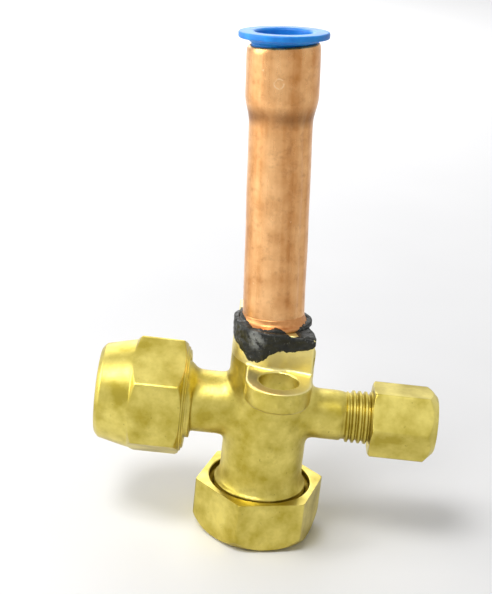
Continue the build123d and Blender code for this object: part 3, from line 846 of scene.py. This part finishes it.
def batter_tube(piece):
    """Press the creases and dents of a handled tube into its wall, and slant its sawn rim a little."""
    for vertex in piece.data.vertices:
        offset = vertex.co / MM - tube_line.origin
        along = offset.dot(tube_line.along)
        side = offset.dot(tube_line.across)
        depth = offset.dot(tube_line.third)
        radius = math.hypot(side, depth)
        angle = math.degrees(math.atan2(depth, side))
        sway = 3.0 * math.sin(along / 9.0) + 1.5 * math.sin(along / 3.7)
        length_fade = min(max(along / 4.0, 0.0), 1.0) * min(max((SWAGE_START - along) / 6.0, 0.0), 1.0)
        creases = sum(
            math.exp(-(((angle + place - sway * follow) / width) ** 2)) * pressed
            for place, follow, width, pressed in CREASES
        )
        dent = math.exp(-(((angle + 50) / 9.0) ** 2 + ((along - 17.0) / 2.2) ** 2)) * 0.30
        swell = noise.noise(Vector((side / 7, depth / 7, along / 11))) * 0.10
        change = swell - creases * length_fade - dent
        slant = (side / SWAGE_RADIUS * 0.5 - 0.35) * min(max((along - SWAGE_START - 2) / 6.0, 0.0), 1.0)
        outwards = (tube_line.across * side + tube_line.third * depth) / radius
        vertex.co += (outwards * change + tube_line.along * slant) * MM


batter_tube(tube)
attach(tube, "root")
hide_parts("copper_tube")
print("copper tube has", len(tube.data.polygons), "faces")

# %% [markdown]
# ## Braze bead
# The brazing rod is mostly copper, so it cools to nearly the tube's own colour.  Molten, it is drawn up
# the tube and out over the block, and it sets with the hollow curve of a liquid that wets both.

# %% Braze bead
braze = Finish("braze_alloy", Metallic=1.0)
braze_clouds = braze.noise(0.9, detail=4.0)
braze.feed("Base Color", braze.mix(braze_clouds, rgb(176, 112, 60), rgb(224, 166, 110)))
braze.feed("Roughness", 0.3 + braze_clouds * 0.2)
braze.bump(braze_clouds, 0.06)
bead_outline = [
    (1.5, 6.2), (1.5, 6.36), (1.0, 6.44), (0.55, 6.62), (0.25, 6.9), (0.05, 7.3), (-0.1, 7.6), (-0.7, 7.7),
    (-0.7, 6.2), (1.5, 6.2),
]
bead = turned("braze_bead", tube_line, subdivide(bead_outline, 0.3), braze.material, columns=144)
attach(bead, "root")
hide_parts("braze_fillet")
print("braze bead has", len(bead.data.polygons), "faces")

# %% [markdown]
# ## Blue plug
# A soft polyethylene plug keeps dirt out of the tube.  It is moulded as a thin cup with a flange, stands
# a little askew, and its thin rim lets light through, which makes its edge paler.

# %% Blue plug
PLUG_COCK = math.radians(-0.5)
PLUG_SINK = 0.35
plug_tilt = Matrix.Rotation(PLUG_COCK, 3, tube_line.third)
plug_line = Spindle(
    Vector(mouth["pos_m"]) / MM - tube_line.along * PLUG_SINK,
    plug_tilt @ tube_line.along,
    plug_tilt @ tube_line.across,
)
plug_plastic = Finish("blue_plug", Roughness=0.42)
plug_plastic.shader.inputs["Subsurface Weight"].default_value = 0.25
plug_plastic.shader.inputs["Subsurface Radius"].default_value = (0.2 * MM, 0.6 * MM, 1.2 * MM)
plug_plastic.shader.inputs["Subsurface Scale"].default_value = 1.0
plug_clouds = plug_plastic.noise(3.0, detail=2.0)
plug_plastic.feed(
    "Base Color", plug_plastic.mix(plug_clouds.between(0.3, 0.7), rgb(0, 120, 212), rgb(24, 148, 230))
)
plug_plastic.bump(plug_plastic.noise(1.2, detail=2.0), 0.03)
plug_outline = soften(
    [
        (-7.5, 0.0), (-7.5, 5.75), (-0.2, 6.38), (0.2, 6.45), (0.5, 6.9), (1.1, 7.1), (1.1, 8.75),
        (1.3, 8.95), (2.2, 8.95), (2.4, 8.7), (2.4, 6.1), (2.1, 5.6), (-6.75, 5.1), (-6.75, 0.0),
    ],
    0.25,
)
plug = turned(
    "tube_plug_skin", plug_line, subdivide(plug_outline, 0.5), plug_plastic.material, columns=144,
    closed=False,
)
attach(plug, "plug")
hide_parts("tube_plug")
print("plug has", len(plug.data.polygons), "faces")

# %% [markdown]
# ## Burnt flux
# Brazing flux boils, blackens and freezes as a glassy crust that clings to whatever it ran over.  The
# crust here is draped: rays from a dome round the joint find the brass and copper under it, and a layer
# of uneven thickness is laid on what they hit.  Where the layer's own edge wanders, it thins to nothing.

# %% Burnt flux finish
flux = Finish("burnt_flux", Specular_IOR_Level=0.35)
flux_clouds = flux.noise(1.4, detail=5.0, roughness=0.65)
# Pale metallic spots and a patch at the front left are painted glints on the black crust
flux_painted_glints = flux.noise(0.8, detail=4.0, roughness=0.7).between(0.60, 0.72)
flux_tone = flux.mix(flux_clouds.between(0.35, 0.7), rgb(12, 14, 10), rgb(40, 41, 32))
PAINTED_GLINT_PLACE = (-0.0042, -0.0083, 0.0468)  # a painted glint patch at the front left
from_painted_glint = flux.node(
    "ShaderNodeVectorMath", {"operation": "DISTANCE"}, {0: flux.place, 1: PAINTED_GLINT_PLACE}, out="Value"
) * 1000.0
painted_glint_patch = from_painted_glint.between(2.6, 0.6) * flux_clouds.between(0.42, 0.55)
painted_shine = flux_painted_glints * 0.5 + painted_glint_patch * 0.6
# The painted glints turn the crust pale and metallic there
flux_tone = flux.mix(painted_shine, flux_tone, rgb(176, 178, 172))
flux.feed("Base Color", flux_tone)
flux.feed("Metallic", painted_shine)
flux.feed("Roughness", 0.42 - flux_painted_glints * 0.18)
flux.bump(flux_clouds + flux.noise(0.5, detail=3.0) * 0.5, 0.12)
print("burnt flux finish ready")

# %% Burnt flux crust
CRUST_COLUMNS, CRUST_ROWS = 260, 60
CRUST_CENTRE = Vector((tube_line.origin.x, 0, BLOCK_TOP - 3.5))
# Round the joint, from the front (-90) to the right (0), the back (90) and the left (180), the crust
# runs between these two directions, in degrees from straight up.  It left the rear left corner bare,
# ran down the front left, and a bead of braze pushed it aside at the front right.
CRUST_UPPER = (
    (-180, 57), (-160, 55), (-150, 57), (-135, 61), (-120, 64), (-107, 63), (-95, 62), (-85, 57), (-76, 60),
    (-71, 64), (-66, 70), (-57, 71), (-50, 64), (-44, 60), (-34, 59), (0, 57), (90, 54), (180, 57),
)
CRUST_LOWER = (
    (-180, 83), (-166, 93), (-150, 97), (-133, 102), (-123, 111), (-106, 112), (-97, 104), (-90, 96),
    (-80, 90), (-60, 89), (-51, 85), (-44, 79), (-35, 76), (0, 78), (40, 83), (90, 87), (118, 74),
    (130, 66), (160, 66), (170, 75), (180, 83),
)


def covered_pieces():
    """The pieces under the crust, ready to be hit by rays."""
    trees = []
    for piece in (body, tube, bead):
        work = bmesh.new()
        work.from_mesh(piece.data)
        trees.append(BVHTree.FromBMesh(work))
        work.free()
    return trees


def crust_reach(angle):
    """Where the crust starts and ends at one angle, ragged, and how far out there is free air."""
    around = Vector((math.cos(angle), math.sin(angle), 0.0))
    ragged = noise.noise(around * 6.0) * 2.4 + noise.noise(around * 15.0) * 1.8 + noise.noise(around * 34.0)
    frayed = noise.noise(around * 9.0 + Vector((5, 0, 0))) * 2.0 + noise.noise(around * 26.0) * 1.6
    degrees = math.degrees(angle)
    upper = np.interp(degrees, *zip(*CRUST_UPPER)) + frayed
    lower = np.interp(degrees, *zip(*CRUST_LOWER)) + ragged
    clearance = 10.5 if -152 < degrees < -82 else 40.0
    return math.radians(upper), math.radians(min(lower, 112.0)), clearance


def burnt_crust():
    """A closed skin of uneven thickness over the joint."""
    trees = covered_pieces()
    outer, inner = [], []
    for row in range(CRUST_ROWS):
        t = row / (CRUST_ROWS - 1)
        for column in range(CRUST_COLUMNS):
            angle = column / CRUST_COLUMNS * math.tau - math.pi
            upper, lower, clearance = crust_reach(angle)
            polar = upper + (lower - upper) * t
            flat = math.sin(polar)
            ray = Vector((flat * math.cos(angle), flat * math.sin(angle), math.cos(polar)))
            start = (CRUST_CENTRE + ray * clearance) * MM
            hits = [tree.ray_cast(start, -ray) for tree in trees]
            nearest = min((hit for hit in hits if hit[0] is not None), key=lambda hit: hit[3])
            place = nearest[0] / MM
            rim = 1 - (1 - min(1.0, min(t, 1 - t) * 7.0)) ** 2
            lumps = 0.5 + 0.6 * noise.noise(place / 1.7) + 0.35 * noise.noise(place / 0.7)
            pile = math.exp(-(((t - 0.25) / 0.2) ** 2)) * 0.16
            out = (ray + nearest[1]).normalized()
            outer.append(place + out * (0.04 + rim * (max(lumps, 0.15) * 0.30 + pile)))
            inner.append(place - ray * 0.25)
    skin = np.array([tuple(p) for p in outer]).reshape(CRUST_ROWS, CRUST_COLUMNS, 3)
    lining = np.array([tuple(p) for p in inner]).reshape(CRUST_ROWS, CRUST_COLUMNS, 3)
    grid = np.concatenate([skin, lining[::-1]]).reshape(-1, 3) * MM
    return mesh_object(
        "burnt_flux_crust", grid, grid_faces(CRUST_ROWS * 2, CRUST_COLUMNS, True), flux.material
    )


crust = burnt_crust()
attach(crust, "root")
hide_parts("flux_crust")
print("crust has", len(crust.data.polygons), "faces")

# %% [markdown]
# ## Inner pieces
# The stem, its rings and clip, the gaskets and the valve core are only seen when something is unscrewed.
# Their solids already have the right shape, so they keep it and take a fitting finish.

# %% Inner finishes
steel = Finish("spring_steel", Metallic=1.0)
steel_lines = steel.noise(0.4, detail=3.0)
steel.feed("Base Color", steel.mix(steel_lines, rgb(150, 150, 152), rgb(190, 190, 192)))
steel.feed("Roughness", 0.28 + steel_lines * 0.15)
rubber = Finish("seal_rubber")
rubber_bloom = rubber.noise(0.8, detail=4.0)
rubber.feed("Base Color", rubber.mix(rubber_bloom, rgb(26, 26, 27), rgb(46, 46, 48)))
rubber.feed("Roughness", 0.55 + rubber_bloom * 0.25)
rubber.bump(rubber_bloom, 0.01)
sealing = Finish("seal_plastic")
sealing_clouds = sealing.noise(2.0, detail=3.0)
sealing.feed("Base Color", sealing.mix(sealing_clouds, rgb(226, 223, 212), rgb(240, 238, 230)))
sealing.feed("Roughness", 0.4 + sealing_clouds * 0.2)
sealing.bump(sealing_clouds, 0.01)
inner_finishes = {
    "turned_brass": turned_brass,
    "forged_brass": forged_brass,
    "copper": copper,
    "spring_steel": steel,
    "seal_rubber": rubber,
    "seal_plastic": sealing,
}
for subpart in frame["record"]["subparts"]:
    finish = inner_finishes.get(subpart["material_slot"])
    if finish is not None:
        for material_slot in frame["nodes"][subpart["node"]].material_slots:
            material_slot.material = finish.material
print("inner pieces dressed")

# %% [markdown]
# ## Floor and light
# A sheet of pale paper, a pale room and broad, soft lamps.  The room adds only a little light of its own.
# To whatever looks straight at it, or sees it mirrored in the metal, it is bright, and so is the paper
# some way off.  That keeps the background pale without more light on the valve, and keeps its shadow.

# %% Floor
GLOW_START, GLOW_FULL, GLOW = 0.12, 0.9, 0.55  # metres from the valve, metres, strength
bpy.ops.mesh.primitive_plane_add(size=6.0)
floor = bpy.context.object
floor.name = "paper_floor"
paper = Finish("paper", Roughness=0.9, Emission_Strength=1.0)
paper_clouds = paper.noise(60.0, detail=2.0)
paper.feed("Base Color", paper.mix(paper_clouds, rgb(236, 236, 237), rgb(243, 243, 244)))
seen = paper.node("ShaderNodeLightPath", {}, {}, out="Is Camera Ray")
seen = seen + paper.node("ShaderNodeLightPath", {}, {}, out="Is Glossy Ray")
seen = (seen + paper.node("ShaderNodeLightPath", {}, {}, out="Is Transmission Ray")).between(0.0, 1.0)
far = paper.node("ShaderNodeVectorMath", {"operation": "LENGTH"}, {0: paper.place}, out="Value")
far = far.between(GLOW_START, GLOW_FULL)
black, pale = (0.0, 0.0, 0.0, 1.0), (1.0, 1.0, 1.0, 1.0)
paper.feed("Emission Color", paper.mix(seen * far * GLOW, black, pale))
floor.data.materials.append(paper.material)
print("paper floor laid")

# %% World
ROOM_LIGHT = 0.30  # what the room gives every surface
ROOM_SEEN = 0.80  # how bright it looks, straight on or mirrored
world = bpy.data.worlds.new("studio")
scene.world = world
world.use_nodes = True
tree = world.node_tree
background = tree.nodes["Background"]
background.inputs["Color"].default_value = (1.0, 1.0, 1.0, 1.0)
light_path = tree.nodes.new("ShaderNodeLightPath")
seen_part = light_path.outputs["Is Camera Ray"]
for ray in ("Is Glossy Ray", "Is Transmission Ray"):
    either = tree.nodes.new("ShaderNodeMath")
    either.operation = "MAXIMUM"
    tree.links.new(seen_part, either.inputs[0])
    tree.links.new(light_path.outputs[ray], either.inputs[1])
    seen_part = either.outputs[0]
strength = tree.nodes.new("ShaderNodeMapRange")
strength.inputs["To Min"].default_value = ROOM_LIGHT
strength.inputs["To Max"].default_value = ROOM_SEEN
tree.links.new(seen_part, strength.inputs["Value"])
tree.links.new(strength.outputs[0], background.inputs["Strength"])
print("room gives", ROOM_LIGHT, "and looks", ROOM_SEEN)

# %% Lamps
LAMP_TARGET = Vector((0, 0, 0.05))  # the middle of the valve


def soft_lamp(name, place, size, power):
    """A square lamp that faces the valve."""
    data = bpy.data.lights.new(name, "AREA")
    data.energy = power
    data.size = size
    lamp = bpy.data.objects.new(name, data)
    scene.collection.objects.link(lamp)
    lamp.location = place
    lamp.rotation_mode = "QUATERNION"
    lamp.rotation_quaternion = (LAMP_TARGET - lamp.location).to_track_quat("-Z", "Y")


soft_lamp("back_window", (-0.16, 0.52, 0.32), 0.46, 1.5)
soft_lamp("side_window", (-0.50, -0.04, 0.24), 0.36, 1.7)
soft_lamp("ceiling", (-0.18, -0.22, 0.56), 0.20, 1.9)
print("three lamps hung")
